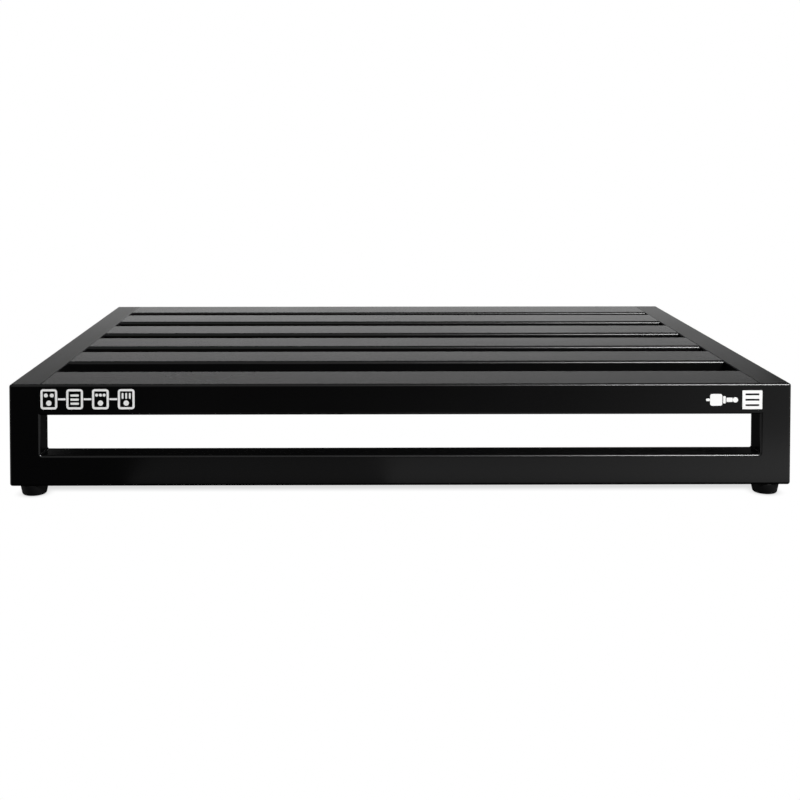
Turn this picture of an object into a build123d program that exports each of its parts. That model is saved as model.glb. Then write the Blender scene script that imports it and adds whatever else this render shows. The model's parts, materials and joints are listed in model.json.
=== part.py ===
from build123d import *
import os

# Welded pedalboard: a slatted deck on a closed frame at each end, standing on four rubber feet.
# X runs along the width, Y from the player (negative) to the rear, Z up. The origin is on the
# floor under the middle of the board. Every size is in millimetres.

# Overall size
board_width = 609.6
board_depth = 431.8
frame_height = 79.8

# Square tube of the side members, legs and lower rails
tube_size = 24.2
tube_wall = 2.0
bore_corner = 1.0
edge_radius = 2.0
cap_thickness = 2.0

# Deck slats
front_slat_depth = 52.0
rear_slat_depth = 48.0
slat_depth = 48.0
slat_thickness = 12.7
slat_wall = 2.0
slat_corner = 2.5
front_gap = 44.0
rear_gap = 17.8
seam_width = 1.0

# Welds
corner_weld = 1.5
bead_size = 4.0
bead_crown = 0.5

# Rubber feet
foot_height = 8.6
foot_top_diameter = 22.0
foot_bottom_diameter = 18.5
foot_bottom_edge = 1.8
foot_top_edge = 0.5
foot_side_inset = 16.3
foot_recess_diameter = 11.2

# Screw, washer and rivet nut of each foot
screw_diameter = 5.0
screw_length = 14.0
screw_tip_chamfer = 0.6
head_diameter = 8.5
head_height = 2.7
head_edge = 0.9
hex_across_flats = 3.0
hex_depth = 1.5
head_to_floor = 0.9
washer_diameter = 10.0
washer_thickness = 1.0
nut_body_diameter = 7.0
nut_body_length = 11.0
nut_flange_diameter = 10.0
nut_flange_thickness = 0.8
nut_crimp_diameter = 9.4
nut_crimp_height = 2.5

# Radial clearances
thread_clearance = 0.05
hole_clearance = 0.15
flange_clearance = 0.25

# Places worked out from the sizes above
side = board_width / 2
inner_side = side - tube_size
front = -board_depth / 2
rear = board_depth / 2
front_frame_back = front + tube_size
rear_frame_face = rear - tube_size
rail_top = foot_height + tube_size
deck_top = foot_height + frame_height
tube_bottom = deck_top - tube_size
slat_bottom = deck_top - slat_thickness
opening_front = front + front_slat_depth
opening_rear = rear - rear_slat_depth
inner_slat_names = ("second_slat", "third_slat", "fourth_slat", "fifth_slat")
slat_space = opening_rear - opening_front - front_gap - rear_gap
slat_gap = (slat_space - len(inner_slat_names) * slat_depth) / (len(inner_slat_names) - 1)
past = board_width  # cuts run this far past the solid that they cut
margin = 1.0  # how far past a place, or short of it, an edge's middle may lie in a group of edges
tolerance = 0.01


def block(low, high):
    """A box between its lowest and highest corners."""
    sizes = [end - start for start, end in zip(low, high)]
    middle = [(end + start) / 2 for start, end in zip(low, high)]
    return Pos(*middle) * Box(*sizes)


def bore(low, high, axis):
    """The hollow of a rectangular tube, with the four edges along its axis rounded."""
    space = block(low, high)
    return fillet(space.edges().filter_by(axis), bore_corner)


def near(value, place):
    """Whether an edge's coordinate is at a place, on either side of the middle."""
    return abs(abs(value) - place) < tolerance


def both_sides(shapes):
    """The shapes on the left, followed by their mirror images on the right."""
    return shapes + [mirror(shape, about=Plane.YZ) for shape in shapes]


# Which edges of the welded frame are rounded, one group after another


def on_outline(spot):
    """Edges of the outer box, and the lower edges of both rails."""
    outer_faces = (near(spot.X, side), near(spot.Y, rear), near(spot.Z, deck_top))
    return sum(outer_faces) + near(spot.Z, foot_height) >= 2


def round_outer_window(spot):
    """The loop round each window on the outer face of its end frame."""
    in_window = abs(spot.X) < inner_side + margin and rail_top - margin < spot.Z < tube_bottom + margin
    return in_window and near(spot.Y, rear)


def round_inner_window(spot):
    """The loop round each window on the face towards the bay, up to the deck's underside."""
    in_window = abs(spot.X) < inner_side + margin and rail_top - margin < spot.Z < tube_bottom - margin
    return in_window and near(spot.Y, rear_frame_face)


def round_bay_side(spot):
    """The loop round the open bay on each side of the board."""
    return near(spot.X, side) and (near(spot.Z, tube_bottom) or near(spot.Y, rear_frame_face))


def round_opening_bottom(spot):
    """The loop round the deck's opening, underneath."""
    return near(spot.Z, tube_bottom) and abs(spot.Y) < rear_frame_face - margin


def round_opening_ends(spot):
    """The two top edges where the deep slats face the deck's opening."""
    return near(spot.Z, deck_top) and abs(spot.X) < inner_side - margin and abs(spot.Y) < rear - margin


def welded_envelope():
    """The outside of everything that is welded and ground flush, without the inner slats."""
    body = block((-side, front, foot_height), (side, rear, deck_top))
    body -= block((-side - past, front_frame_back, -past), (side + past, rear_frame_face, tube_bottom))
    body -= block((-inner_side, front - past, rail_top), (inner_side, rear + past, tube_bottom))
    body -= block((-inner_side, opening_front, rail_top), (inner_side, opening_rear, deck_top + past))
    lower_corners = [
        edge
        for edge in body.edges().filter_by(Axis.Y)
        if near(edge.center().X, inner_side) and near(edge.center().Z, rail_top)
    ]
    body = fillet(lower_corners, corner_weld)
    groups = (
        on_outline,
        round_outer_window,
        round_inner_window,
        round_bay_side,
        round_opening_bottom,
        round_opening_ends,
    )
    for belongs in groups:
        chosen = [edge for edge in body.edges() if not edge.is_interior and belongs(edge.center())]
        body = fillet(chosen, edge_radius)
    return body


def deck_seams():
    """The shallow V left along each side tube where the slats meet it."""
    half = seam_width / 2
    corners = ((-half, 0), (half, 0), (0, -half))
    section = Plane.XZ * make_face(Polyline(*corners, close=True))
    groove = extrude(section, board_depth - 2 * edge_radius)
    left = Pos(-inner_side, rear - edge_radius, deck_top) * groove
    return both_sides([left])


# Tubes and rails


def side_tube_bore():
    """The hollow of the left side tube, from end to end."""
    low = (-side + tube_wall, front - past, tube_bottom + tube_wall)
    high = (-inner_side - tube_wall, rear + past, deck_top - tube_wall)
    return bore(low, high, Axis.Y)


def left_side_tube(envelope):
    """The square tube that the left ends of the slats butt against."""
    whole = envelope & block((-side, front, tube_bottom), (-inner_side, rear, deck_top))
    return whole - side_tube_bore()


def side_tube_caps(envelope):
    """The plates welded into both ends of both side tubes and ground flush."""
    filling = envelope & side_tube_bore()
    slabs = [
        block((-side, front, tube_bottom), (-inner_side, front + cap_thickness, deck_top)),
        block((-side, rear - cap_thickness, tube_bottom), (-inner_side, rear, deck_top)),
    ]
    return both_sides([filling & slab for slab in slabs])


def deep_slat(envelope, start, end):
    """A slat as deep as the side tubes, which closes the deck at the front or the rear."""
    whole = envelope & block((-inner_side, start, tube_bottom), (inner_side, end, deck_top))
    low = (-side, start + tube_wall, tube_bottom + tube_wall)
    high = (side, end - tube_wall, deck_top - tube_wall)
    return whole - bore(low, high, Axis.X)


def inner_slat(start):
    """A flat slat between the side tubes, with its front face at start."""
    outside = RectangleRounded(slat_depth, slat_thickness, slat_corner)
    hollow_depth = slat_depth - 2 * slat_wall
    hollow_thickness = slat_thickness - 2 * slat_wall
    inside = RectangleRounded(hollow_depth, hollow_thickness, bore_corner)
    length = 2 * inner_side
    whole = extrude(Plane.YZ * (outside - inside), length)
    return Pos(-inner_side, start + slat_depth / 2, deck_top - slat_thickness / 2) * whole


def inner_slat_starts():
    """Where the front face of each inner slat is."""
    first = opening_front + front_gap
    return [first + number * (slat_depth + slat_gap) for number in range(len(inner_slat_names))]


def left_leg(envelope, start):
    """A short upright between the left side tube and a lower rail."""
    whole = envelope & block((-side, start, rail_top), (-inner_side, start + tube_size, tube_bottom))
    low = (-side + tube_wall, start + tube_wall, rail_top - past)
    high = (-inner_side - tube_wall, start + tube_size - tube_wall, tube_bottom + past)
    return whole - bore(low, high, Axis.Z)


def rail_bore(start):
    """The hollow of a lower rail, from end to end."""
    low = (-side - past, start + tube_wall, foot_height + tube_wall)
    high = (side + past, start + tube_size - tube_wall, rail_top - tube_wall)
    return bore(low, high, Axis.X)


def lower_rail(envelope, start):
    """The tube along the floor, with a hole for each foot's rivet nut."""
    whole = envelope & block((-side, start, foot_height), (side, start + tube_size, rail_top))
    whole -= rail_bore(start)
    radius = nut_body_diameter / 2 + hole_clearance
    for across in (-1, 1):
        spot = (across * (side - foot_side_inset), start + tube_size / 2, foot_height)
        whole -= Pos(*spot) * Cylinder(radius, 2 * (tube_wall + margin))
    return whole


def rail_caps(envelope):
    """The plates welded into both ends of both lower rails and ground flush."""
    left_caps = []
    for start in (front, rear_frame_face):
        filling = envelope & rail_bore(start)
        slab = block((-side, start, foot_height), (cap_thickness - side, start + tube_size, rail_top))
        left_caps.append(filling & slab)
    return both_sides(left_caps)


# Welds


def window_welds(envelope, start):
    """The fillets in the lower corners of a window, rounded like the edges they join."""
    low = (-inner_side, start, rail_top)
    high = (corner_weld - inner_side, start + tube_size, rail_top + corner_weld)
    return both_sides([envelope & block(low, high)])


def bead(corner, first_leg, second_leg, length):
    """A crowned weld bead in a corner, run along first_leg x second_leg."""
    along = Vector(first_leg).cross(Vector(second_leg))
    crest = bead_size / 2 + bead_crown
    section = make_face(
        Line((0, 0), (bead_size, 0))
        + ThreePointArc((bead_size, 0), (crest, crest), (0, bead_size))
        + Line((0, bead_size), (0, 0))
    )
    plane = Plane(origin=corner, x_dir=first_leg, z_dir=along)
    return extrude(plane * section, length)


def left_slat_welds():
    """The beads that hold the left ends of the slats to the side tube."""
    right, back, up = (1, 0, 0), (0, 1, 0), (0, 0, 1)
    forward, down = (0, -1, 0), (0, 0, -1)
    beads = [
        bead((-inner_side, start + slat_corner, slat_bottom), right, down, slat_depth - 2 * slat_corner)
        for start in inner_slat_starts()
    ]
    upright = tube_size - 2 * edge_radius
    beads.append(bead((-inner_side, opening_front, tube_bottom + edge_radius), right, back, upright))
    beads.append(bead((-inner_side, opening_rear, deck_top - edge_radius), right, forward, upright))
    return beads


def leg_welds():
    """The beads between the legs and the undersides of the side tubes."""
    back, forward, down = (0, 1, 0), (0, -1, 0), (0, 0, -1)
    length = tube_size - 2 * edge_radius
    at_front = bead((-inner_side - edge_radius, front_frame_back, tube_bottom), back, down, length)
    at_rear = bead((edge_radius - side, rear_frame_face, tube_bottom), forward, down, length)
    return both_sides([at_front, at_rear])


# Feet and what holds them, each made on the Z axis


def turned(*points):
    """The solid that an outline of (radius, height) points makes when it is turned about Z."""
    outline = Plane.XZ * make_face(Polyline(*points, close=True))
    return revolve(outline, Axis.Z)


def rubber_foot():
    """A tapered bumper with a deep recess that hides the screw's head."""
    top, bottom = foot_top_diameter / 2, foot_bottom_diameter / 2
    recess = foot_recess_diameter / 2
    hole = screw_diameter / 2 + hole_clearance
    seat = nut_flange_diameter / 2 + flange_clearance
    web_low = head_to_floor + head_height + washer_thickness
    web_high = foot_height - nut_flange_thickness - flange_clearance
    solid = turned(
        (hole, web_low),
        (hole, web_high),
        (seat, web_high),
        (seat, foot_height),
        (top, foot_height),
        (bottom, 0),
        (recess, 0),
        (recess, web_low),
    )
    rings = solid.edges().filter_by(GeomType.CIRCLE)
    solid = fillet([ring for ring in rings if near(ring.radius, bottom)], foot_bottom_edge)
    rings = solid.edges().filter_by(GeomType.CIRCLE)
    return fillet([ring for ring in rings if near(ring.radius, top)], foot_top_edge)


def washer():
    """The flat washer between the screw's head and the rubber."""
    low = head_to_floor + head_height
    inner, outer = screw_diameter / 2 + hole_clearance, washer_diameter / 2
    high = low + washer_thickness
    return turned((inner, low), (outer, low), (outer, high), (inner, high))


def screw():
    """A hexagon-socket screw with a rounded head, pointing up."""
    seat = head_to_floor + head_height
    tip = seat + screw_length
    shank = screw_diameter / 2
    head = head_diameter / 2
    solid = turned(
        (0, head_to_floor),
        (head, head_to_floor),
        (head, seat),
        (shank, seat),
        (shank, tip - screw_tip_chamfer),
        (shank - screw_tip_chamfer, tip),
        (0, tip),
    )
    rims = [
        ring
        for ring in solid.edges().filter_by(GeomType.CIRCLE)
        if near(ring.radius, head) and near(ring.center().Z, head_to_floor)
    ]
    solid = fillet(rims, head_edge)
    socket = extrude(RegularPolygon(hex_across_flats / 2, 6, major_radius=False), hex_depth)
    return solid - Pos(0, 0, head_to_floor) * socket


def rivet_nut():
    """A threaded sleeve, set in the rail's lower wall between its flange and its crimp."""
    hole = screw_diameter / 2 + thread_clearance
    flange, crimp, sleeve = nut_flange_diameter / 2, nut_crimp_diameter / 2, nut_body_diameter / 2
    wall_top = foot_height + tube_wall
    return turned(
        (hole, foot_height - nut_flange_thickness),
        (flange, foot_height - nut_flange_thickness),
        (flange, foot_height),
        (sleeve, foot_height),
        (sleeve, wall_top),
        (crimp, wall_top),
        (sleeve, wall_top + nut_crimp_height),
        (sleeve, foot_height + nut_body_length),
        (hole, foot_height + nut_body_length),
    )


def foot_places():
    """The middle of each foot, by the name of its corner."""
    across, along = side - foot_side_inset, rear - tube_size / 2
    return {
        "front_left": Pos(-across, -along, 0),
        "front_right": Pos(across, -along, 0),
        "rear_left": Pos(-across, along, 0),
        "rear_right": Pos(across, along, 0),
    }


def make_nodes():
    """Every node of the board: a name and the separate solids that it holds."""
    envelope = welded_envelope()
    seams = deck_seams()
    nodes = {
        "left_side_tube": [left_side_tube(envelope) - seams],
        "front_slat": [deep_slat(envelope, front, opening_front) - seams],
        "rear_slat": [deep_slat(envelope, opening_rear, rear) - seams],
        "side_tube_caps": side_tube_caps(envelope),
        "lower_rail_caps": rail_caps(envelope),
        "front_lower_rail": [lower_rail(envelope, front)],
        "rear_lower_rail": [lower_rail(envelope, rear_frame_face)],
        "front_window_welds": window_welds(envelope, front),
        "rear_window_welds": window_welds(envelope, rear_frame_face),
        "left_slat_welds": left_slat_welds(),
        "leg_welds": leg_welds(),
    }
    for name, start in zip(inner_slat_names, inner_slat_starts()):
        nodes[name] = [inner_slat(start) - seams]
    for end, start in (("front", front), ("rear", rear_frame_face)):
        leg = left_leg(envelope, start)
        nodes[end + "_left_leg"] = [leg]
        nodes[end + "_right_leg"] = [mirror(leg, about=Plane.YZ)]
    for part in ("side_tube", "slat_welds"):
        left = nodes["left_" + part]
        nodes["right_" + part] = [mirror(solid, about=Plane.YZ) for solid in left]
    places = foot_places()
    for corner, place in places.items():
        nodes[corner + "_foot"] = [place * rubber_foot()]
    for name, make in (("foot_washers", washer), ("foot_screws", screw), ("foot_rivet_nuts", rivet_nut)):
        nodes[name] = [place * make() for place in places.values()]
    return nodes


def write_node(name, shapes):
    """Write one node's solids to its own STEP file."""
    solids = [solid for shape in shapes for solid in shape.solids()]
    whole = solids[0] if len(solids) == 1 else Compound(solids)
    whole.label = name
    export_step(whole, os.path.join("parts", name + ".step"))


os.makedirs("parts", exist_ok=True)
for node_name, node_shapes in make_nodes().items():
    write_node(node_name, node_shapes)
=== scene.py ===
"""Looks of a welded pedalboard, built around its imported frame.

The tubes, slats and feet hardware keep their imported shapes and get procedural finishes. The weld
beads, the rubber feet and the printed marks are new pieces, worked out as numpy surfaces in the
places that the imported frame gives. Every length is in metres unless a class says otherwise, X along
the width, Y to the rear and Z up.
"""

import json
import logging
import math
from dataclasses import dataclass, replace
from enum import Enum

import bpy
import numpy as np
from mathutils import Euler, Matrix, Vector


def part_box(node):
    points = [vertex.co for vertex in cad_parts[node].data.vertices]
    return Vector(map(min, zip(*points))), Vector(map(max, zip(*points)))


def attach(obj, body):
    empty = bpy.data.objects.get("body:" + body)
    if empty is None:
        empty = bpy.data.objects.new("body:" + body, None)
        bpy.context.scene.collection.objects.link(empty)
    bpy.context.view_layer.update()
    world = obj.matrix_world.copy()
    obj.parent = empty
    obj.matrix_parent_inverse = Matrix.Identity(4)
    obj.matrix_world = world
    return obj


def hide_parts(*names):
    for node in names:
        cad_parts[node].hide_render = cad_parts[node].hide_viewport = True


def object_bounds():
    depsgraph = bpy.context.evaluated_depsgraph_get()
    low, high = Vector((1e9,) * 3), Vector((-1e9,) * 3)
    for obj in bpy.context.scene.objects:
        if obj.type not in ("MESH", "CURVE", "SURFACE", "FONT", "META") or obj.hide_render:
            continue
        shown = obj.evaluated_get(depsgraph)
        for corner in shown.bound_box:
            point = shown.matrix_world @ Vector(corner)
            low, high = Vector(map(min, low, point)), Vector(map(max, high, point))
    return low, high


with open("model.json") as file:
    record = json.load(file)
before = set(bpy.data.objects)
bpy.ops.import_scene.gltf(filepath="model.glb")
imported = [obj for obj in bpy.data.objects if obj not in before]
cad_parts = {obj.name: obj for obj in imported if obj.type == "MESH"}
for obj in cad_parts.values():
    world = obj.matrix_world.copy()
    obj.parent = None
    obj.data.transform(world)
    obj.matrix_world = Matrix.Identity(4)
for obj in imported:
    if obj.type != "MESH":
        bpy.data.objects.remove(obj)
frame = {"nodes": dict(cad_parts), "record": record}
CAD_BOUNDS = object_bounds()
LOG = logging.getLogger("pedalboard")
MM = 0.001
BODY = "root"
WHITE = (1.0, 1.0, 1.0, 1.0)

Value = float | tuple | bpy.types.NodeSocket
Span = tuple[float, float]
Place = tuple[float, float, float]


class Slot(Enum):
    """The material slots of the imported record."""

    COAT = "powder_coat"
    WELD = "coated_weld"
    RUBBER = "rubber"
    OXIDE = "black_oxide"
    ZINC = "zinc_plate"


# Shader building


class Graph:
    """A node tree with short ways to add nodes and feed their inputs."""

    def __init__(self, tree: bpy.types.NodeTree) -> None:
        """Keeps the tree that the nodes go into."""
        self.tree = tree

    def add(self, kind: str, inputs: dict | None = None, **settings: object) -> bpy.types.Node:
        """Adds one node.

        Args:
            kind: Blender's name of the node type.
            inputs: the value or the output socket for each named or numbered input.
            settings: attributes set on the node itself.

        Returns:
            The new node.
        """
        node = self.tree.nodes.new(kind)
        for name, value in settings.items():
            setattr(node, name, value)
        for name, value in (inputs or {}).items():
            self.feed(node.inputs[name], value)
        return node

    def feed(self, socket: bpy.types.NodeSocket, value: Value) -> None:
        """Links an output socket to an input, or sets the input's own value.

        Args:
            socket: the input.
            value: an output socket, or the value itself.
        """
        if isinstance(value, bpy.types.NodeSocket):
            self.tree.links.new(value, socket)
        else:
            socket.default_value = value

    def maths(
        self, operation: str, first: Value, second: Value = 0.0, clamp: bool = False
    ) -> bpy.types.NodeSocket:
        """Puts two values through one arithmetic operation and returns the result's socket."""
        node = self.add("ShaderNodeMath", {0: first, 1: second}, operation=operation, use_clamp=clamp)
        return node.outputs[0]

    def product(self, first: Value, *others: Value) -> Value:
        """Multiplies values.

        Args:
            first: the first value.
            others: the values that multiply it, in order.

        Returns:
            The product's socket, or the first value where there is no other.
        """
        for other in others:
            first = self.maths("MULTIPLY", first, other)
        return first

    def spread(self, value: Value, span: Span, ends: Span = (0.0, 1.0)) -> bpy.types.NodeSocket:
        """Maps a value smoothly from one range to another.

        Args:
            value: the value, held within the span.
            span: the two values that give the two ends.
            ends: the results at the start and at the end of the span.

        Returns:
            The result's socket.
        """
        node = self.add("ShaderNodeMapRange", {"Value": value}, interpolation_type="SMOOTHSTEP")
        for name, number in zip(("From Min", "From Max", "To Min", "To Max"), (*span, *ends)):
            self.feed(node.inputs[name], number)
        return node.outputs["Result"]

    def axes(self, vector: bpy.types.NodeSocket) -> tuple[bpy.types.NodeSocket, ...]:
        """Splits a vector and returns the sockets of its X, Y and Z."""
        return tuple(self.add("ShaderNodeSeparateXYZ", {"Vector": vector}).outputs)

    def mix_colours(self, share: Value, first: Value, second: Value) -> bpy.types.NodeSocket:
        """Blends two colours, from the first at a share of 0 to the second at 1."""
        node = self.add("ShaderNodeMix", data_type="RGBA")
        sockets = {socket.identifier: socket for socket in node.inputs}
        self.feed(sockets["Factor_Float"], share)
        self.feed(sockets["A_Color"], first)
        self.feed(sockets["B_Color"], second)
        return next(socket for socket in node.outputs if socket.identifier == "Result_Color")

    def noise(self, scale: Value, detail: float, roughness: float) -> bpy.types.NodeSocket:
        """Adds noise on the object's own coordinates.

        Args:
            scale: how many waves fit into a metre.
            detail: how many finer layers lie on the broadest one.
            roughness: how strong each finer layer is.

        Returns:
            The socket of the noise's value, from 0 to 1.
        """
        place = self.add("ShaderNodeTexCoord").outputs["Object"]
        inputs = {"Vector": place, "Scale": scale, "Detail": detail, "Roughness": roughness}
        return self.add("ShaderNodeTexNoise", inputs).outputs["Fac"]


class ShaderGroup:
    """A shader node group with named inputs and outputs, built once."""

    name = "group"
    inputs: dict[str, tuple[str, float | tuple]] = {}
    outputs: dict[str, str] = {}

    @classmethod
    def tree(cls) -> bpy.types.NodeTree:
        """Makes the group's tree the first time that it is asked for.

        Returns:
            The tree.
        """
        found = bpy.data.node_groups.get(cls.name)
        if found is not None:
            return found
        tree = bpy.data.node_groups.new(cls.name, "ShaderNodeTree")
        for name, (kind, value) in cls.inputs.items():
            tree.interface.new_socket(name, in_out="INPUT", socket_type=kind).default_value = value
        for name, kind in cls.outputs.items():
            tree.interface.new_socket(name, in_out="OUTPUT", socket_type=kind)
        graph = Graph(tree)
        given = graph.add("NodeGroupInput").outputs
        result = graph.add("NodeGroupOutput").inputs
        for name, socket in cls.fill(graph, given).items():
            graph.feed(result[name], socket)
        return tree

    @classmethod
    def fill(cls, graph: Graph, given: bpy.types.NodeOutputs) -> dict[str, bpy.types.NodeSocket]:
        """Builds the group's nodes.

        Args:
            graph: the group's graph.
            given: the group's inputs.

        Returns:
            The socket for each of the group's outputs.
        """
        raise NotImplementedError

    @classmethod
    def place(cls, graph: Graph, values: dict[str, Value]) -> bpy.types.NodeOutputs:
        """Puts the group into a material with that material's own values.

        Args:
            graph: the material's graph.
            values: the value of each of the group's inputs.

        Returns:
            The group's outputs there.
        """
        node = graph.add("ShaderNodeGroup", node_tree=cls.tree())
        for name, value in values.items():
            graph.feed(node.inputs[name], value)
        return node.outputs


class PeelGroup(ShaderGroup):
    """The skin of a sprayed or moulded surface: broad soft waves with fine grain on them."""

    name = "skin_relief"
    inputs = {
        "Wave Scale": ("NodeSocketFloat", 300.0),
        "Grain Scale": ("NodeSocketFloat", 2500.0),
        "Wave Height": ("NodeSocketFloat", 0.00002),
        "Grain Height": ("NodeSocketFloat", 0.000005),
    }
    outputs = {"Normal": "NodeSocketVector"}

    @classmethod
    def fill(cls, graph: Graph, given: bpy.types.NodeOutputs) -> dict[str, bpy.types.NodeSocket]:
        """Adds the waves and the grain as one height and turns it into a normal."""
        wave = graph.noise(given["Wave Scale"], detail=2.0, roughness=0.45)
        grain = graph.noise(given["Grain Scale"], detail=3.0, roughness=0.6)
        height = graph.maths(
            "ADD", graph.product(wave, given["Wave Height"]), graph.product(grain, given["Grain Height"])
        )
        bump = graph.add("ShaderNodeBump", {"Height": height, "Strength": 1.0, "Distance": 1.0})
        return {"Normal": bump.outputs["Normal"]}


class ToneGroup(ShaderGroup):
    """Slow variation of colour and gloss, with a trace of dust on faces that look up."""

    name = "surface_tone"
    inputs = {
        "Color": ("NodeSocketColor", (0.01, 0.01, 0.01, 1.0)),
        "Dust Color": ("NodeSocketColor", (0.3, 0.29, 0.27, 1.0)),
        "Roughness": ("NodeSocketFloat", 0.4),
        "Patch Scale": ("NodeSocketFloat", 12.0),
        "Variation": ("NodeSocketFloat", 0.1),
        "Dust": ("NodeSocketFloat", 0.02),
    }
    outputs = {"Color": "NodeSocketColor", "Roughness": "NodeSocketFloat"}
    colour_swing = 2.0
    speck_scale = 1400.0
    speck_span = (0.62, 0.78)
    lying_span = (0.6, 0.98)

    @classmethod
    def fill(cls, graph: Graph, given: bpy.types.NodeOutputs) -> dict[str, bpy.types.NodeSocket]:
        """Swings colour and roughness with broad noise, and lays specks of dust with fine noise."""
        patches = graph.noise(given["Patch Scale"], detail=4.0, roughness=0.55)
        share = graph.product(graph.maths("SUBTRACT", patches, 0.5), given["Variation"])
        rough = graph.maths("ADD", given["Roughness"], share, clamp=True)
        brightness = graph.maths("ADD", graph.product(share, cls.colour_swing), 1.0)
        toned = graph.add("ShaderNodeVectorMath", {0: given["Color"], "Scale": brightness}, operation="SCALE")
        specks = graph.spread(graph.noise(cls.speck_scale, detail=2.0, roughness=0.7), cls.speck_span)
        upward = graph.axes(graph.add("ShaderNodeNewGeometry").outputs["Normal"])[2]
        lying = graph.product(specks, graph.spread(upward, cls.lying_span))
        dust = graph.maths("MULTIPLY", lying, given["Dust"], clamp=True)
        mixed = graph.mix_colours(dust, toned.outputs["Vector"], given["Dust Color"])
        return {"Color": mixed, "Roughness": rough}


# Finishes


@dataclass(frozen=True)
class Finish:
    """A surface finish: a Principled shader whose tone and relief come from the shared groups."""

    name: str
    color: tuple[float, float, float]
    roughness: float
    metallic: float = 0.0
    specular: float = 0.5
    variation: float = 0.1
    patch_scale: float = 12.0
    dust: float = 0.0
    wave_scale: float = 300.0
    wave_height: float = 0.0
    grain_scale: float = 2500.0
    grain_height: float = 0.0
    top_roughness: float = 0.0
    top_span: Span = (0.93, 0.99)

    def material(self) -> bpy.types.Material:
        """Makes the finish's material the first time that it is asked for.

        Returns:
            The material.
        """
        found = bpy.data.materials.get(self.name)
        if found is not None:
            return found
        made = bpy.data.materials.new(self.name)
        made.use_nodes = True
        made.node_tree.nodes.clear()
        graph = Graph(made.node_tree)
        tone = ToneGroup.place(
            graph,
            {
                "Color": (*self.color, 1.0),
                "Roughness": self.roughness,
                "Patch Scale": self.patch_scale,
                "Variation": self.variation,
                "Dust": self.dust,
            },
        )
        relief = PeelGroup.place(
            graph,
            {
                "Wave Scale": self.wave_scale,
                "Wave Height": self.wave_height,
                "Grain Scale": self.grain_scale,
                "Grain Height": self.grain_height,
            },
        )
        shader = graph.add(
            "ShaderNodeBsdfPrincipled",
            {
                "Base Color": tone["Color"],
                "Roughness": self.roughness_socket(graph, tone["Roughness"]),
                "Metallic": self.metallic,
                "Specular IOR Level": self.specular,
                "Normal": relief["Normal"],
            },
        )
        output = graph.add("ShaderNodeOutputMaterial")
        graph.feed(output.inputs["Surface"], shader.outputs["BSDF"])
        return made

    def roughness_socket(self, graph: Graph, toned: bpy.types.NodeSocket) -> bpy.types.NodeSocket:
        """Adds the top roughness on faces that look up.

        Args:
            graph: the material's graph.
            toned: the roughness that the tone group gives.

        Returns:
            The socket of the roughness that the shader takes.
        """
        if self.top_roughness == 0.0:
            return toned
        upward = graph.axes(graph.add("ShaderNodeNewGeometry").outputs["Normal"])[2]
        return graph.maths("ADD", toned, graph.spread(upward, self.top_span, (0.0, self.top_roughness)))


POWDER_COAT = Finish(
    name="satin_black_powder_coat",
    color=(0.0013, 0.0013, 0.0014),
    roughness=0.265,
    variation=0.05,
    patch_scale=9.0,
    dust=0.01,
    wave_scale=520.0,
    wave_height=0.000012,
    grain_scale=2600.0,
    grain_height=0.000004,
)
SIDE_TUBE_COAT = replace(POWDER_COAT, name="satin_black_coat_with_matt_top", top_roughness=0.05)
COATED_WELD = Finish(
    name="black_powder_coat_on_weld",
    color=(0.0015, 0.0015, 0.0016),
    roughness=0.28,
    variation=0.08,
    patch_scale=160.0,
    dust=0.02,
    wave_scale=900.0,
    wave_height=0.00003,
    grain_scale=2600.0,
    grain_height=0.000004,
)
RUBBER = Finish(
    name="moulded_black_rubber",
    color=(0.0030, 0.0030, 0.0032),
    roughness=0.55,
    specular=0.22,
    variation=0.12,
    patch_scale=70.0,
    dust=0.03,
    wave_scale=700.0,
    wave_height=0.00001,
    grain_scale=3200.0,
    grain_height=0.00001,
)
BLACK_OXIDE = Finish(
    name="black_oxide_steel",
    color=(0.055, 0.055, 0.060),
    roughness=0.38,
    metallic=1.0,
    variation=0.14,
    patch_scale=240.0,
    wave_scale=900.0,
    wave_height=0.000004,
)
ZINC_PLATE = Finish(
    name="bright_zinc_plate",
    color=(0.58, 0.59, 0.62),
    roughness=0.28,
    metallic=1.0,
    variation=0.16,
    patch_scale=200.0,
    wave_scale=1200.0,
    wave_height=0.000004,
)
PRINT_INK = Finish(
    name="white_screen_ink",
    color=(0.92, 0.92, 0.91),
    roughness=0.48,
    variation=0.05,
    patch_scale=160.0,
    wave_scale=1500.0,
    wave_height=0.000006,
    grain_scale=5200.0,
    grain_height=0.000004,
)
SLOT_FINISH = {
    Slot.COAT: POWDER_COAT,
    Slot.WELD: COATED_WELD,
    Slot.RUBBER: RUBBER,
    Slot.OXIDE: BLACK_OXIDE,
    Slot.ZINC: ZINC_PLATE,
}
NODE_FINISH = {"left_side_tube": SIDE_TUBE_COAT, "right_side_tube": SIDE_TUBE_COAT}


# Surfaces


def mesh_piece(name: str, points: np.ndarray, faces: list, smooth_degrees: float) -> bpy.types.Object:
    """Makes a mesh object at the origin, its place in its mesh, shaded smooth up to an angle.

    Args:
        name: the piece's name.
        points: an array of n points by 3.
        faces: the point numbers of each face, wound outwards.
        smooth_degrees: edges that turn more than this stay sharp.

    Returns:
        The new object, linked to the scene.
    """
    mesh = bpy.data.meshes.new(name)
    mesh.from_pydata(points.tolist(), [], faces)
    mesh.validate()
    mesh.update()
    piece = bpy.data.objects.new(name, mesh)
    bpy.context.scene.collection.objects.link(piece)
    mesh.polygons.foreach_set("use_smooth", np.ones(len(mesh.polygons), bool))
    mesh.set_sharp_from_angle(angle=math.radians(smooth_degrees))
    return piece


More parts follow.
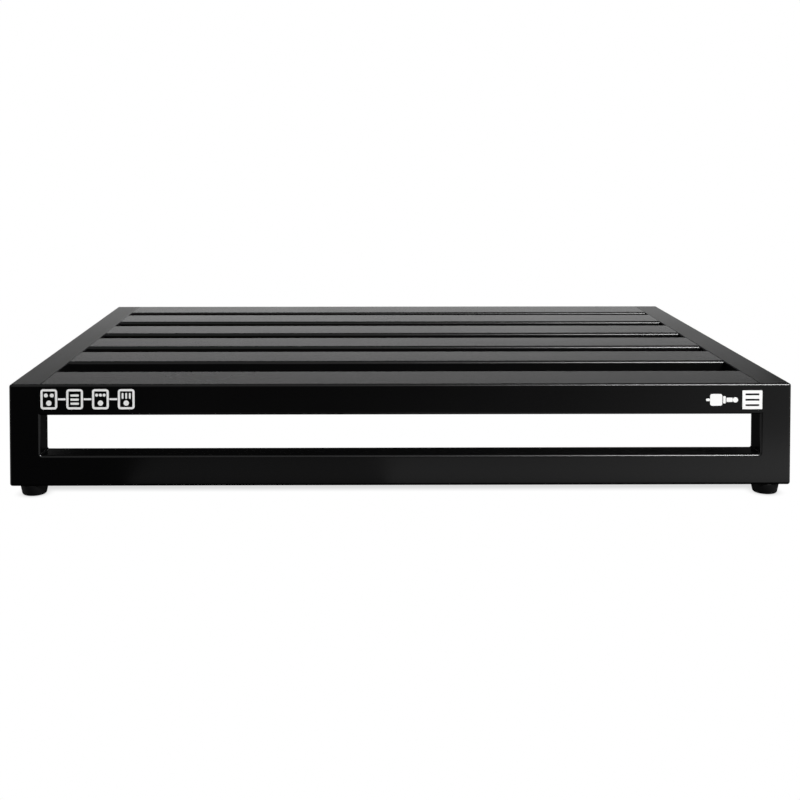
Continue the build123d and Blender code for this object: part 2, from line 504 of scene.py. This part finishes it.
def grid_faces(rows: int, columns: int, wrap_rows: bool, wrap_columns: bool, first: int = 0) -> list:
    """Joins a grid of points into quads, each facing the way of column step x row step.

    Args:
        rows: the number of rows of points.
        columns: the number of points in each row.
        wrap_rows: whether the last row joins the first.
        wrap_columns: whether each row closes on itself.
        first: the number of the grid's first point.

    Returns:
        The quads, as lists of point numbers.
    """
    row = np.arange(rows if wrap_rows else rows - 1)
    column = np.arange(columns if wrap_columns else columns - 1)
    r, c = (numbers.ravel() for numbers in np.meshgrid(row, column, indexing="ij"))
    next_r, next_c = (r + 1) % rows, (c + 1) % columns
    corners = (r * columns + c, r * columns + next_c, next_r * columns + next_c, next_r * columns + c)
    return (np.stack(corners, axis=1) + first).tolist()


def rounded_outline(corners: np.ndarray, radii: np.ndarray, steps: int = 6) -> np.ndarray:
    """A closed outline whose corners are turned into arcs.

    Each corner P, with unit directions a and b to its neighbours and half angle h between them,
    becomes an arc about P + (a + b) / |a + b| * r / sin h, from the foot of its centre on one side
    to the foot on the other. The arc's points lie evenly in angle between those two feet.

    Args:
        corners: an array of n points by 2.
        radii: one radius for each corner; 0 keeps the corner sharp.
        steps: the number of points along each arc.

    Returns:
        The outline's points, as an array of m by 2.
    """
    runs = []
    for index, radius in enumerate(radii):
        corner = corners[index]
        if radius <= 0:
            runs.append(corner[None, :])
            continue
        before = corners[index - 1] - corner
        after = corners[(index + 1) % len(corners)] - corner
        before, after = before / np.linalg.norm(before), after / np.linalg.norm(after)
        half = np.arccos(np.clip(before @ after, -1, 1)) / 2
        bisector = (before + after) / np.linalg.norm(before + after)
        centre = corner + bisector * radius / np.sin(half)
        feet = [corner + side * radius / np.tan(half) - centre for side in (before, after)]
        start, end = (np.arctan2(foot[1], foot[0]) for foot in feet)
        turn = (end - start + np.pi) % (2 * np.pi) - np.pi
        angle = start + turn * np.linspace(0, 1, steps)
        runs.append(centre + radius * np.stack((np.cos(angle), np.sin(angle)), axis=1))
    return np.concatenate(runs)


@dataclass
class RubberFoot:
    """A tapered rubber bumper, turned about its own upright axis. Sizes are in millimetres."""

    corner: str
    bottom_radius: float = 9.25
    top_swell: float = 0.11
    recess_radius: float = 5.6
    recess_depth: float = 4.6
    hole_radius: float = 2.65
    seat_radius: float = 5.25
    seat_depth: float = 1.05
    recess_edge: float = 0.4
    bottom_edge: float = 1.8
    lip_edge: float = 0.5
    top_edge: float = 0.5
    steps_round: int = 96
    smooth_degrees: float = 35.0

    def profile(self, top_radius: float, height: float) -> np.ndarray:
        """Draws half of the foot's section, with each moulded edge as an arc.

        Args:
            top_radius: the foot's radius at its top.
            height: how tall the foot is.

        Returns:
            The closed outline, as an array of (radius, height).
        """
        corners = np.array(
            [
                (self.hole_radius, self.recess_depth),
                (self.recess_radius, self.recess_depth),
                (self.recess_radius, 0.0),
                (self.bottom_radius, 0.0),
                (top_radius, height),
                (self.seat_radius, height),
                (self.seat_radius, height - self.seat_depth),
                (self.hole_radius, height - self.seat_depth),
            ]
        )
        radii = [0.0, self.recess_edge, self.lip_edge, self.bottom_edge, self.top_edge, 0.0, 0.0, 0.0]
        return rounded_outline(corners, np.array(radii))

    def build(self) -> bpy.types.Object:
        """Turns the profile: (r cos u, r sin u, z), with u a full circle, about the foot's axis.

        Returns:
            The foot's piece.
        """
        node = self.corner + "_foot"
        low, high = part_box(node)
        middle = (low + high) / 2
        top_radius = (high.x - low.x) / 2 / MM + self.top_swell
        outline = self.profile(top_radius, (high.z - low.z) / MM)
        angle = np.linspace(0, 2 * np.pi, self.steps_round, endpoint=False)[None, :]
        radius, height = outline[:, 0, None], outline[:, 1, None]
        points = np.stack(
            (
                middle.x + MM * radius * np.cos(angle),
                middle.y + MM * radius * np.sin(angle),
                low.z + MM * height + 0 * angle,
            ),
            axis=-1,
        )
        faces = grid_faces(len(outline), self.steps_round, True, True)
        piece = mesh_piece("rubber_" + node, points.reshape(-1, 3), faces, self.smooth_degrees)
        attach(piece, BODY)
        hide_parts(node)
        piece.data.materials.append(RUBBER.material())
        return piece


@dataclass
class Bead:
    """One weld bead in a corner: where it starts, its two legs and how far it runs, in metres."""

    corner: np.ndarray
    first: np.ndarray
    second: np.ndarray
    length: float
    size: float


@dataclass
class WeldRun:
    """A group of hand-laid beads with the overlapping crescents that each pulse leaves."""

    name: str
    nodes: tuple[str, ...]
    beads: list[Bead]
    pitch: float = 1.7 * MM
    crown: float = 0.10
    ripple: float = 0.07
    crest_power: float = 0.7
    bow: float = 0.42
    wander: float = 0.02
    drift_knots: int = 9
    end_taper: float = 1.8 * MM
    end_share: float = 0.1
    steps_across: int = 14
    steps_per_ripple: int = 8
    smooth_degrees: float = 50.0

    def surface(self, bead: Bead, seed: int) -> np.ndarray:
        """A grid of the bead's points: a row for each step along, which starts at the root.

        At the share t of the quarter turn from the first leg to the second, and the distance s
        along, the radius is size / (cos a + sin a) * (1 + (crown + ripple * crest + drift) sin 2a),
        with a = 90 t degrees. The crest is |cos(pi (s / pitch - bow sin 2a))| to the crest power,
        so that the bow bends each ripple into a crescent. The radius falls off to a round end over
        the taper.

        Args:
            bead: the bead's place and sizes.
            seed: the number that its drift is drawn from.

        Returns:
            The points, as an array of rows by columns by 3.
        """
        generator = np.random.default_rng(seed)
        rows = round(bead.length / self.pitch * self.steps_per_ripple) + 1
        s = np.linspace(0, bead.length, rows)[:, None]
        a = np.radians(np.linspace(0, 90, self.steps_across))[None, :]
        crests = np.abs(np.cos(np.pi * (s / self.pitch - self.bow * np.sin(2 * a)))) ** self.crest_power
        knots = np.linspace(0, bead.length, self.drift_knots)
        drift = np.interp(s, knots, generator.normal(0, self.wander, self.drift_knots))
        swell = (self.crown + self.ripple * crests + drift) * np.sin(2 * a)
        near_end = np.clip(np.minimum(s, bead.length - s) / self.end_taper, 0, 1)
        taper = self.end_share + (1 - self.end_share) * np.sqrt(1 - (1 - near_end) ** 2)
        radius = bead.size / (np.cos(a) + np.sin(a)) * (1 + swell) * taper
        along = np.cross(bead.first, bead.second)
        root = bead.corner + s * along
        across = (radius * np.cos(a))[..., None] * bead.first + (radius * np.sin(a))[..., None] * bead.second
        return np.concatenate((root[:, None, :], root[:, None, :] + across), axis=1)

    def build(self) -> bpy.types.Object:
        """Joins the beads into one piece, each closed by a flat face at both of its small ends.

        Returns:
            The beads' piece.
        """
        points, faces, count = [], [], 0
        for seed, bead in enumerate(self.beads):
            grid = self.surface(bead, seed)
            rows, columns = grid.shape[:2]
            faces += grid_faces(rows, columns, False, True, count)
            first_ring = np.arange(count, count + columns)
            faces.append(first_ring[::-1].tolist())
            faces.append((first_ring + (rows - 1) * columns).tolist())
            points.append(grid.reshape(-1, 3))
            count += rows * columns
        piece = mesh_piece(self.name, np.concatenate(points), faces, self.smooth_degrees)
        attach(piece, BODY)
        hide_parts(*self.nodes)
        piece.data.materials.append(COATED_WELD.material())
        return piece


def axis(x: float, y: float, z: float) -> np.ndarray:
    """A direction or a place as an array."""
    return np.array((x, y, z), float)


@dataclass
class DeckWelds:
    """The beads that hold the slats and the legs to the side tubes."""

    inner_slats: tuple[str, ...] = ("second_slat", "third_slat", "fourth_slat", "fifth_slat")
    slat_corner: float = 2.5 * MM
    tube_edge: float = 3.0 * MM

    def slat_beads(self, side: int) -> list[Bead]:
        """Lays the beads of one side tube: under each inner slat, and up the two outer ones.

        Args:
            side: -1 for the left tube and 1 for the right one.

        Returns:
            The beads.
        """
        tube_low, tube_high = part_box("left_side_tube" if side < 0 else "right_side_tube")
        weld_low, weld_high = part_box("left_slat_welds" if side < 0 else "right_slat_welds")
        face = tube_high.x if side < 0 else tube_low.x
        size = weld_high.x - weld_low.x
        inward, down = axis(-side, 0, 0), axis(0, 0, -1)
        beads = []
        for slat in self.inner_slats:
            low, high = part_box(slat)
            length = high.y - low.y - 2 * self.slat_corner
            start = low.y if side < 0 else high.y
            corner = axis(face, start - side * self.slat_corner, low.z)
            beads.append(Bead(corner, inward, down, length, size))
        upright = tube_high.z - tube_low.z - 2 * self.tube_edge
        for place, outward in ((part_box("front_slat")[1].y, 1), (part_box("rear_slat")[0].y, -1)):
            rises = outward * side < 0
            height = tube_low.z + self.tube_edge if rises else tube_high.z - self.tube_edge
            beads.append(Bead(axis(face, place, height), inward, axis(0, outward, 0), upright, size))
        return beads

    def leg_beads(self) -> list[Bead]:
        """Lays the beads across the tops of the four legs, under the side tubes.

        Returns:
            The beads: the front legs' and then the rear legs', each pair from the left.
        """
        weld_low, weld_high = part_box("leg_welds")
        size = weld_high.z - weld_low.z
        beads = []
        for end, outward in (("front", 1), ("rear", -1)):
            for side in ("left", "right"):
                node = f"{end}_{side}_leg"
                low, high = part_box(node)
                place = high.y if outward > 0 else low.y
                start = high.x - self.tube_edge if outward > 0 else low.x + self.tube_edge
                length = high.x - low.x - 2 * self.tube_edge
                corner = axis(start, place, high.z)
                beads.append(Bead(corner, axis(0, outward, 0), axis(0, 0, -1), length, size))
        return beads

    def build(self) -> list[bpy.types.Object]:
        """Makes the three groups of beads.

        Returns:
            Their pieces.
        """
        runs = (
            WeldRun("left_slat_beads", ("left_slat_welds",), self.slat_beads(-1)),
            WeldRun("right_slat_beads", ("right_slat_welds",), self.slat_beads(1)),
            WeldRun("leg_beads", ("leg_welds",), self.leg_beads()),
        )
        return [run.build() for run in runs]


# Printed marks


class Plate:
    """Flat printed shapes on the front face, gathered into one piece. Sizes are in millimetres."""

    smooth_degrees = 30.0

    def __init__(self, ink: float) -> None:
        """Starts with no shape.

        Args:
            ink: the thickness of the print.
        """
        self.ink = ink
        self.points: list[np.ndarray] = []
        self.faces: list = []
        self.count = 0

    def add_shape(self, outline: np.ndarray) -> None:
        """Adds a filled shape: its outline, swept by the ink's thickness.

        Args:
            outline: a convex outline, as an array of (x, z).
        """
        size = len(outline)
        back = np.stack((outline[:, 0], np.zeros(size), outline[:, 1]), axis=1)
        front = back - np.array((0.0, self.ink, 0.0))
        self.points += [front, back]
        ring = np.arange(self.count, self.count + size)
        self.faces.append(ring.tolist())
        self.faces.append((ring[::-1] + size).tolist())
        self.faces += [list(face)[::-1] for face in grid_faces(2, size, False, True, self.count)]
        self.count += 2 * size

    def add_ring(self, outer: np.ndarray, inner: np.ndarray) -> None:
        """Adds the band between two outlines: its section is a rectangle, carried round them.

        Args:
            outer: the outer outline, as an array of (x, z).
            inner: the inner outline, with as many points.
        """
        size = len(outer)
        loops = ((outer, -self.ink), (outer, 0.0), (inner, 0.0), (inner, -self.ink))
        rows = [np.stack((loop[:, 0], np.full(size, depth), loop[:, 1]), axis=1) for loop, depth in loops]
        self.points += rows
        self.faces += [list(face)[::-1] for face in grid_faces(len(loops), size, True, True, self.count)]
        self.count += len(loops) * size

    def build(self, name: str, corner: Vector) -> bpy.types.Object:
        """Makes the piece.

        Args:
            name: the piece's name.
            corner: the point of the front face where the plate's own origin lies, in metres.

        Returns:
            The piece.
        """
        points = np.concatenate(self.points) * MM + np.array(corner)
        piece = mesh_piece(name, points, self.faces, self.smooth_degrees)
        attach(piece, BODY)
        piece.data.materials.append(PRINT_INK.material())
        return piece


def box_outline(x: float, z: float, width: float, height: float, radius: float) -> np.ndarray:
    """A rectangle with rounded corners, from its lower left corner."""
    corners = np.array([(x, z), (x + width, z), (x + width, z + height), (x, z + height)], float)
    return rounded_outline(corners, np.full(4, radius))


def disc_outline(x: float, z: float, radius: float, steps: int = 32) -> np.ndarray:
    """A circle about a point: (x, z) + radius (cos a, sin a), with a running evenly round."""
    angle = np.radians(np.linspace(0, 360, steps + 1)[:-1])
    return np.array((x, z)) + radius * np.stack((np.cos(angle), np.sin(angle)), axis=1)


class Face(Enum):
    """What is drawn inside a pedal's outline."""

    TWO_KNOBS = "two knobs"
    THREE_KNOBS = "three knobs"
    TREADLE = "treadle"
    SLIDERS = "sliders"


@dataclass(frozen=True)
class Knobs:
    """A row of equal knobs on a pedal's face: their places either side of the middle."""

    steps: tuple[int, ...]
    pitch: float
    height: float
    radius: float


@dataclass(frozen=True)
class Bars:
    """A set of equal bars on a pedal's face: the first one's place, the step and one bar's size."""

    steps: tuple[int, ...]
    left: float
    bottom: float
    step_right: float
    step_up: float
    width: float
    height: float
    corner: float


FACE_KNOBS = {
    Face.TWO_KNOBS: Knobs(steps=(-1, 1), pitch=2.3, height=10.9, radius=1.55),
    Face.THREE_KNOBS: Knobs(steps=(-1, 0, 1), pitch=2.9, height=11.1, radius=1.2),
}
FACE_BARS = {
    Face.TREADLE: Bars((0, 1, 2), -3.3, 3.6, step_right=0.0, step_up=3.2, width=6.6, height=1.7, corner=0.5),
    Face.SLIDERS: Bars((-1, 0, 1), -0.7, 8.2, step_right=2.8, step_up=0.0, width=1.4, height=4.6, corner=0.6),
}


@dataclass
class PedalRow:
    """The mark at the left: a row of plain pedal outlines joined by short cables, in millimetres."""

    faces: tuple[Face, ...] = (Face.TWO_KNOBS, Face.TREADLE, Face.THREE_KNOBS, Face.SLIDERS)
    from_side: float = 24.6
    from_top: float = 19.4
    pedal_width: float = 13.0
    pedal_height: float = 15.8
    pitch: float = 20.0
    stroke: float = 1.7
    corner: float = 2.2
    least_corner: float = 0.3
    switch_height: float = 4.9
    switch_radius: float = 2.1
    cable: float = 1.5
    cable_height: float = 7.2
    cable_gap: float = 0.4
    cable_corner: float = 0.5
    ink: float = 0.06

    def draw_face(self, plate: Plate, x: float, face: Face) -> None:
        """Draws one pedal's controls: its bars or knobs, and its foot switch unless it is a treadle.

        Args:
            plate: the plate that the shapes go on.
            x: the left side of the pedal's outline.
            face: what is drawn.
        """
        middle = x + self.pedal_width / 2
        if face in FACE_BARS:
            bars = FACE_BARS[face]
            for step in bars.steps:
                left, bottom = middle + bars.left + step * bars.step_right, bars.bottom + step * bars.step_up
                plate.add_shape(box_outline(left, bottom, bars.width, bars.height, bars.corner))
        if face in FACE_KNOBS:
            knobs = FACE_KNOBS[face]
            for step in knobs.steps:
                plate.add_shape(disc_outline(middle + step * knobs.pitch, knobs.height, knobs.radius))
        if face is not Face.TREADLE:
            plate.add_shape(disc_outline(middle, self.switch_height, self.switch_radius))

    def draw_outline(self, plate: Plate, x: float) -> None:
        """Draws one pedal's outline as a band of the stroke's width.

        Args:
            plate: the plate that the band goes on.
            x: the outline's left side.
        """
        inset = self.stroke
        inner_width, inner_height = self.pedal_width - 2 * inset, self.pedal_height - 2 * inset
        inner_corner = max(self.corner - inset, self.least_corner)
        outer = box_outline(x, 0, self.pedal_width, self.pedal_height, self.corner)
        plate.add_ring(outer, box_outline(x + inset, inset, inner_width, inner_height, inner_corner))

    def build(self) -> bpy.types.Object:
        """Makes the row of pedals as one piece."""
        low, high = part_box("left_side_tube")[0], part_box("front_slat")[1]
        plate = Plate(self.ink)
        for number, face in enumerate(self.faces):
            x = number * self.pitch
            self.draw_outline(plate, x)
            self.draw_face(plate, x, face)
            if number:
                start = x - self.pitch + self.pedal_width + self.cable_gap
                length = x - self.cable_gap - start
                plate.add_shape(box_outline(start, self.cable_height, length, self.cable, self.cable_corner))
        corner = Vector((low.x + self.from_side * MM, low.y, high.z - self.from_top * MM))
        return plate.build("printed_pedal_row", corner)


@dataclass(frozen=True)
class PlugStep:
    """One stretch of the jack plug: where it starts, its length, its width and its corners."""

    start: float
    length: float
    width: float
    corner: float


CABLE_END = PlugStep(start=0.0, length=3.0, width=2.0, corner=0.6)
GRIP = PlugStep(start=3.1, length=9.6, width=9.2, corner=1.6)
COLLAR = PlugStep(start=13.3, length=2.0, width=5.8, corner=0.6)
SHAFT = PlugStep(start=15.9, length=4.8, width=3.4, corner=0.3)


@dataclass
class PlugAndDeck:
    """The marks at the right: a jack plug and a square that shows a slatted deck, in millimetres."""

    square_from_side: float = 22.8
    from_top: float = 20.2
    square_width: float = 15.6
    square_height: float = 14.8
    square_stroke: float = 2.4
    outer_corner: float = 0.5
    inner_corner: float = 0.3
    slats: int = 2
    slat_gap: float = 1.5
    slat_corner: float = 0.2
    plug_length: float = 25.0
    plug_gap: float = 3.4
    plug_tip: float = 2.1
    ink: float = 0.06

    def draw_plug(self, plate: Plate) -> None:
        """Draws the plug pointing to the right: cable, grip, collar, shaft and tip.

        Args:
            plate: the plate that the shapes go on.
        """
        x, z = -self.plug_gap - self.plug_length, self.square_height / 2
        for step in (CABLE_END, GRIP, COLLAR, SHAFT):
            left, bottom = x + step.start, z - step.width / 2
            plate.add_shape(box_outline(left, bottom, step.length, step.width, step.corner))
        plate.add_shape(disc_outline(x + self.plug_length - self.plug_tip, z, self.plug_tip))

    def draw_deck(self, plate: Plate) -> None:
        """Draws the square, with its slats evenly apart inside it.

        Args:
            plate: the plate that the shapes go on.
        """
        inset = self.square_stroke
        wide, tall = self.square_width - 2 * inset, self.square_height - 2 * inset
        plate.add_ring(
            box_outline(0, 0, self.square_width, self.square_height, self.outer_corner),
            box_outline(inset, inset, wide, tall, self.inner_corner),
        )
        bar = (tall - (self.slats + 1) * self.slat_gap) / self.slats
        for number in range(self.slats):
            bottom = inset + self.slat_gap + number * (bar + self.slat_gap)
            plate.add_shape(box_outline(inset, bottom, wide, bar, self.slat_corner))

    def build(self) -> bpy.types.Object:
        """Makes the plug and the square as one piece."""
        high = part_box("right_side_tube")[1]
        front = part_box("front_slat")[0].y
        plate = Plate(self.ink)
        self.draw_plug(plate)
        self.draw_deck(plate)
        side = self.square_from_side + self.square_width
        corner = Vector((high.x - side * MM, front, high.z - self.from_top * MM))
        return plate.build("printed_plug_and_deck", corner)


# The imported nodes, the studio and the whole


def dress_nodes() -> int:
    """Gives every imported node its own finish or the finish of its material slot.

    Returns:
        How many nodes were dressed.
    """
    for part in frame["record"]["subparts"]:
        finish = NODE_FINISH.get(part["node"]) or SLOT_FINISH[Slot(part["material_slot"])]
        material = finish.material()
        piece = frame["nodes"][part["node"]]
        if not piece.material_slots:
            piece.data.materials.append(material)
        for slot in piece.material_slots:
            slot.material = material
    return len(frame["record"]["subparts"])


@dataclass
class Floor:
    """A white floor that glows, with a painted contact shadow close to what stands on it and a painted shadow
    band under the rails.
    """

    size: float = 30.0
    drop: float = 0.05 * MM
    # painted contact shadow: the glow where a point is fully hemmed in, and the reach and openness that it
    # works over
    contact_shadow_glow: float = 0.6
    contact_reach: float = 8.7 * MM
    open_share: float = 0.97
    # painted shadow band under the rails: how much it darkens, where it starts and ends inwards, and its fade
    # at the sides
    rail_shade: float = 0.30
    shade_starts: Span = (12 * MM, 28 * MM)
    shade_ends: Span = (40 * MM, 80 * MM)
    side_fade: float = 8 * MM
    smooth_degrees: float = 30.0

    def glow(self, graph: Graph) -> bpy.types.NodeSocket:
        """Works out how bright each point of the floor is, with its painted shadows.

        Args:
            graph: the floor material's graph.

        Returns:
            The brightness: 1 in the open, less within reach of a foot as a painted contact shadow, and less
                in a band behind each rail as a painted shadow, measured inwards from the board's front and
                rear.
        """
        # painted contact shadow: darker where ambient occlusion finds something within reach
        openness = graph.add("ShaderNodeAmbientOcclusion", {"Distance": self.contact_reach}).outputs["AO"]
        contact = graph.spread(openness, (0.0, self.open_share), (self.contact_shadow_glow, 1.0))
        x, y, _ = graph.axes(graph.add("ShaderNodeTexCoord").outputs["Object"])
        # painted shadow band under the front and rear rails
        high = CAD_BOUNDS[1]
        inside = graph.maths("SUBTRACT", high.y, graph.maths("ABSOLUTE", y))
        deeper = graph.spread(inside, self.shade_starts, (0.0, self.rail_shade))
        beyond = graph.spread(inside, self.shade_ends, (1.0, 0.0))
        within = graph.spread(graph.maths("ABSOLUTE", x), (high.x - self.side_fade, high.x), (1.0, 0.0))
        lit = graph.maths("SUBTRACT", 1.0, graph.product(deeper, beyond, within))
        return graph.product(contact, lit)

    def build(self) -> None:
        """Makes the floor as a square that only the camera sees."""
        half = self.size / 2
        z = CAD_BOUNDS[0].z - self.drop
        points = np.array([(-half, -half, z), (half, -half, z), (half, half, z), (-half, half, z)])
        floor = mesh_piece("floor", points, [[0, 1, 2, 3]], self.smooth_degrees)
        material = bpy.data.materials.new("pale_floor_with_painted_shadow")
        material.use_nodes = True
        material.node_tree.nodes.clear()
        graph = Graph(material.node_tree)
        # the floor's emission carries its painted shadows
        shader = graph.add("ShaderNodeEmission", {"Color": WHITE, "Strength": self.glow(graph)})
        output = graph.add("ShaderNodeOutputMaterial")
        graph.feed(output.inputs["Surface"], shader.outputs[0])
        floor.data.materials.append(material)
        floor.visible_diffuse = False
        floor.visible_glossy = False
        floor.visible_shadow = False


@dataclass(frozen=True)
class Way:
    """A direction out of the board: its X, how far it points to either side, its Y and its Z."""

    across: Value
    aside: Value
    along: Value
    up: Value


@dataclass
class Surround:
    """The world: white where it is seen, and the studio's own light where it lights the board.

    Each span is a range of one part of a direction, from -1 to 1. The wall, the room and the floor
    are added to the world's graph and give the socket of the radiance that comes from a way.
    """

    wall_light: float = 0.13
    wall_along: Span = (0.1, 0.7)
    wall_aside: Span = (0.08, 0.42)
    wall_foot: Span = (0.04, 0.16)
    wall_head: Span = (0.30, 0.50)
    above_wall: float = 0.04
    room_light: float = 0.32
    room_along: Span = (0.30, 0.75)
    room_aside: Span = (0.45, 0.62)
    room_up: Span = (0.08, 0.32)
    floor_light: float = 0.50
    floor_across: Span = (0.18, 0.38)
    floor_along: Span = (-0.5, 0.0)
    floor_up: Span = (-0.50, -0.30)
    side_floor_light: float = 0.30
    side_floor_aside: Span = (0.60, 0.85)
    far_floor_light: float = 0.014
    far_floor_along: Span = (-0.3, 0.3)
    horizon: Span = (-0.04, 0.0)
    fill_light: float = 0.003

    def wall(self, graph: Graph, way: Way) -> bpy.types.NodeSocket:
        """Lights a low wall behind the board, which fades towards both of its ends."""
        behind = graph.spread(way.along, self.wall_along)
        low = graph.spread(way.up, self.wall_head, (1.0, self.above_wall))
        raised = graph.spread(way.up, self.wall_foot, (0.0, self.wall_light))
        return graph.product(behind, low, raised, graph.spread(way.aside, self.wall_aside, (1.0, 0.0)))

    def room(self, graph: Graph, way: Way) -> bpy.types.NodeSocket:
        """Lights a plain room on the sides that are not behind the board."""
        in_front = graph.spread(way.along, self.room_along, (1.0, 0.0))
        around = graph.maths("MAXIMUM", in_front, graph.spread(way.aside, self.room_aside))
        return graph.product(around, graph.spread(way.up, self.room_up, (0.0, self.room_light)))

    def floor(self, graph: Graph, way: Way) -> bpy.types.NodeSocket:
        """Lights the floor: in front towards the right, at both sides, and a little behind."""
        rightward = graph.spread(way.across, self.floor_across, (0.0, self.floor_light))
        in_front = graph.spread(way.along, self.floor_along, (1.0, 0.0))
        near = graph.product(rightward, graph.spread(way.up, self.floor_up), in_front)
        at_sides = graph.spread(way.aside, self.side_floor_aside, (0.0, self.side_floor_light))
        far = graph.spread(way.along, self.far_floor_along, (0.0, self.far_floor_light))
        return graph.maths("ADD", graph.maths("MAXIMUM", near, at_sides), far)

    def light(self, graph: Graph) -> bpy.types.NodeSocket:
        """Adds up what comes from each direction.

        Args:
            graph: the world's graph.

        Returns:
            The socket of the radiance: the floor below the horizon, the wall above it, the room
            and an even fill.
        """
        across, along, up = graph.axes(graph.add("ShaderNodeTexCoord").outputs["Generated"])
        way = Way(across, graph.maths("ABSOLUTE", across), along, up)
        is_under = graph.spread(up, self.horizon, (1.0, 0.0))
        is_over = graph.maths("SUBTRACT", 1.0, is_under)
        under = graph.product(self.floor(graph, way), is_under)
        over = graph.product(self.wall(graph, way), is_over)
        total = graph.maths("ADD", graph.maths("ADD", under, over), self.room(graph, way))
        return graph.maths("ADD", total, self.fill_light)

    def build(self) -> None:
        """Makes the world, with its light for the board and plain white for the camera."""
        world = bpy.data.worlds.new("studio")
        bpy.context.scene.world = world
        world.use_nodes = True
        world.node_tree.nodes.clear()
        graph = Graph(world.node_tree)
        lit = graph.add("ShaderNodeBackground", {"Color": WHITE, "Strength": self.light(graph)})
        seen = graph.add("ShaderNodeBackground", {"Color": WHITE, "Strength": 1.0})
        camera_ray = graph.add("ShaderNodeLightPath").outputs["Is Camera Ray"]
        mixed = graph.add("ShaderNodeMixShader", {0: camera_ray, 1: lit.outputs[0], 2: seen.outputs[0]})
        output = graph.add("ShaderNodeOutputWorld")
        graph.feed(output.inputs["Surface"], mixed.outputs[0])


@dataclass(frozen=True)
class SoftLight:
    """A rectangular soft light that points from a place at a target, with its power in watts."""

    name: str
    place: Place
    target: Place
    size: Span
    power: float
    kept_off: tuple[str, ...] = ()

    def keep_off(self, lamp: bpy.types.Object) -> None:
        """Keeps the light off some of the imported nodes, as a black card beside them would.

        Args:
            lamp: the light's object.
        """
        flagged = bpy.data.collections.new(f"{self.name}_flagged")
        for name in self.kept_off:
            flagged.objects.link(frame["nodes"][name])
        for entry in flagged.collection_objects:
            entry.light_linking.link_state = "EXCLUDE"
        lamp.light_linking.receiver_collection = flagged

    def build(self) -> None:
        """Makes the light, hidden from the camera."""
        data = bpy.data.lights.new(self.name, "AREA")
        data.shape = "RECTANGLE"
        data.size, data.size_y = self.size
        data.energy = self.power
        lamp = bpy.data.objects.new(self.name, data)
        bpy.context.scene.collection.objects.link(lamp)
        lamp.location = self.place
        backward = Vector(self.place) - Vector(self.target)
        lamp.rotation_euler = backward.to_track_quat("Z", "Y").to_euler()
        lamp.visible_camera = False
        if self.kept_off:
            self.keep_off(lamp)


REAR_PANEL = SoftLight(
    name="low_rear_panel",
    place=(0.0, 1.1, 0.21),
    target=(0.0, 0.0, 0.18),
    size=(1.5, 0.18),
    power=0.71,
    kept_off=("front_lower_rail",),
)
RIGHT_SOFTBOX = SoftLight(
    name="right_softbox",
    place=(0.80, -1.27, 1.14),
    target=(0.2, -0.2, 0.06),
    size=(0.6, 0.3),
    power=33.0,
)
WIDE_BOUNCE = SoftLight(
    name="wide_bounce",
    place=(0.11, -0.31, 0.001),
    target=(0.11, -0.31, 1.0),
    size=(0.66, 0.13),
    power=0.038,
    kept_off=("second_slat", "third_slat", "fourth_slat", "fifth_slat", "rear_slat"),
)
NEAR_BOUNCE = replace(
    WIDE_BOUNCE, name="near_bounce", place=(0.20, -0.31, 0.001), target=(0.20, -0.31, 1.0), size=(0.42, 0.13)
)


@dataclass
class Studio:
    """A white floor and surround, a low panel behind the board and a soft light from the right."""

    lights: tuple[SoftLight, ...] = (REAR_PANEL, RIGHT_SOFTBOX, WIDE_BOUNCE, NEAR_BOUNCE)

    def build(self) -> None:
        """Sets up the floor, the surround and the lights."""
        Floor().build()
        Surround().build()
        for light in self.lights:
            light.build()


@dataclass
class Viewpoint:
    """The camera: in front of the middle of the board and a little above it."""

    offset: float = -0.0336
    stand_off: float = 0.9421
    height: float = 0.2816
    turn: float = 0.474
    tilt: float = 1.897
    lens: float = 54.83
    sensor: float = 36.0
    shift: Span = (0.04, -0.28)
    clip: Span = (0.02, 60.0)

    def build(self) -> None:
        """Makes the scene's camera in front of the board's front face."""
        data = bpy.data.cameras.new("camera")
        data.lens = self.lens
        data.sensor_width = self.sensor
        data.shift_x, data.shift_y = self.shift
        data.clip_start, data.clip_end = self.clip
        camera = bpy.data.objects.new("camera", data)
        bpy.context.scene.collection.objects.link(camera)
        camera.location = (self.offset, CAD_BOUNDS[0].y - self.stand_off, self.height)
        camera.rotation_euler = Euler((math.radians(90 - self.tilt), 0.0, math.radians(-self.turn)))
        bpy.context.scene.camera = camera


def main() -> None:
    """Builds the board's looks in order and reports each piece."""
    logging.basicConfig(level=logging.INFO, format="%(name)s: %(message)s")
    LOG.info("dressed %d packed nodes", dress_nodes())
    corners = ("front_left", "front_right", "rear_left", "rear_right")
    pieces = [RubberFoot(corner).build() for corner in corners]
    pieces += DeckWelds().build()
    pieces += [PedalRow().build(), PlugAndDeck().build()]
    for piece in pieces:
        LOG.info("built %s with %d faces", piece.name, len(piece.data.polygons))
    Studio().build()
    Viewpoint().build()
    bpy.context.scene.view_settings.view_transform = "Standard"


if __name__ == "__main__":
    main()
